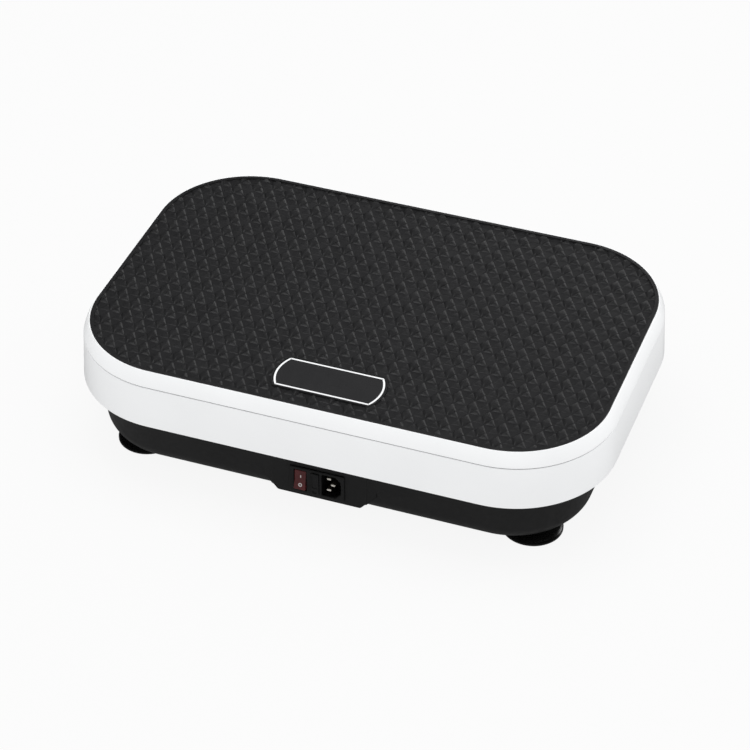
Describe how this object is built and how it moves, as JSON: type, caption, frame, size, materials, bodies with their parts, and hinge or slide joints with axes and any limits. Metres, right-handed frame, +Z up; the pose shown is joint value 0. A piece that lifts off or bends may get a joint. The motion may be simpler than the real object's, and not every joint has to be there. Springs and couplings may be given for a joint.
{
  "type": "vibration plate",
  "caption": "Low rectangular vibration plate: a rocking, rubber-matted platform on a motor-driven base with suction feet, a rocker switch and a mains inlet.",
  "frame": {"origin": "on the floor, under the middle of the plate", "axes": "+X along the long side, +Z up, the display and the mains inlet face -Y"},
  "size_m": [0.5, 0.337, 0.1257],
  "materials": {
    "white_abs": "glossy moulded white ABS",
    "black_abs": "fine-textured moulded black ABS",
    "module_nylon": "moulded black nylon",
    "mat_rubber": "moulded black rubber with a raised lozenge pattern",
    "foot_rubber": "glossy soft black rubber",
    "buffer_rubber": "matt vulcanised rubber",
    "smoked_acrylic": "satin smoked acrylic with a printed white line",
    "switch_red": "translucent red polycarbonate",
    "pin_nickel": "nickel-plated brass",
    "zinc_steel": "zinc-plated steel",
    "painted_steel": "powder-coated steel",
    "cast_aluminium": "die-cast aluminium",
    "circuit_green": "solder-masked circuit board",
    "belt_rubber": "ribbed belt rubber",
    "lead_pvc": "PVC-sleeved lead",
    "fuse_glass": "clear glass with metal end caps",
    "capacitor_sleeve": "shrunk PVC sleeve"
  },
  "bodies": {
    "base": {"base_tub": "black_abs", "chassis_plate": "zinc_steel", "pivot_bracket_front": "painted_steel", "pivot_bracket_rear": "painted_steel", "pivot_shaft": "zinc_steel", "stop_bracket_left": "painted_steel", "stop_bracket_right": "painted_steel", "motor_can": "painted_steel", "motor_front_cap": "cast_aluminium", "motor_rear_cap": "cast_aluminium", "motor_cradle": "cast_aluminium", "drive_belt": "belt_rubber", "shaft_bearing_front": "cast_aluminium", "shaft_bearing_rear": "cast_aluminium", "control_board": "circuit_green", "heat_sink": "cast_aluminium", "board_capacitor": "capacitor_sleeve", "mains_lead": "lead_pvc", "motor_lead": "lead_pvc", "inlet_housing": "module_nylon", "pin_line": "pin_nickel", "pin_neutral": "pin_nickel", "pin_earth": "pin_nickel", "suction_foot_front_left": "foot_rubber", "suction_foot_front_right": "foot_rubber", "suction_foot_rear_left": "foot_rubber", "suction_foot_rear_right": "foot_rubber", "base_screw_front_left": "zinc_steel", "base_screw_front_right": "zinc_steel", "base_screw_rear_left": "zinc_steel", "base_screw_rear_right": "zinc_steel"},
    "platform": {"side_skirt": "white_abs", "top_shell": "white_abs", "mat": "mat_rubber", "display_lens": "smoked_acrylic", "display_board": "circuit_green", "deck_plate": "painted_steel", "deck_rib_front": "painted_steel", "deck_rib_rear": "painted_steel", "pivot_yoke_front": "zinc_steel", "pivot_yoke_rear": "zinc_steel", "pivot_bush_front": "buffer_rubber", "pivot_bush_rear": "buffer_rubber", "rod_clevis": "zinc_steel", "rod_pin": "zinc_steel", "rubber_buffer_front_left": "buffer_rubber", "rubber_buffer_front_right": "buffer_rubber", "rubber_buffer_rear_left": "buffer_rubber", "rubber_buffer_rear_right": "buffer_rubber"},
    "crank": {"eccentric_shaft": "zinc_steel", "cam_bearing": "zinc_steel", "driven_pulley": "cast_aluminium"},
    "rod": {"connecting_rod": "cast_aluminium"},
    "rotor": {"motor_shaft": "zinc_steel", "motor_pulley": "zinc_steel", "motor_fan": "black_abs"},
    "switch": {"rocker_button": "switch_red"},
    "fuse_holder": {"fuse_drawer": "module_nylon", "fuse": "fuse_glass"}
  },
  "joints": [
    {"name": "platform_rock", "type": "hinge", "parent": "base", "child": "platform", "pos_m": [0, 0, 0.09], "axis": [0, 1, 0], "range_deg": [-1, 1], "stiffness_Nm_per_rad": 60},
    {"name": "crank_spin", "type": "hinge", "parent": "base", "child": "crank", "pos_m": [0.06, 0, 0.054], "axis": [0, 1, 0], "continuous": true},
    {"name": "motor_spin", "type": "hinge", "parent": "base", "child": "rotor", "pos_m": [-0.095, 0, 0.057], "axis": [0, 1, 0], "continuous": true},
    {"name": "rod_swing", "type": "hinge", "parent": "platform", "child": "rod", "pos_m": [0.06, 0.02, 0.092], "axis": [0, 1, 0], "range_deg": [-1.6, 1.6]},
    {"name": "switch_rock", "type": "hinge", "parent": "base", "child": "switch", "pos_m": [-0.0145, -0.1526, 0.0375], "axis": [1, 0, 0], "range_deg": [0, 20]},
    {"name": "fuse_drawer_slide", "type": "slide", "parent": "base", "child": "fuse_holder", "axis": [0, -1, 0], "range_m": [0, 0.016]}
  ],
  "couplings": [
    {"joint": "motor_spin", "follows": "crank_spin", "ratio": 3.2}
  ]
}
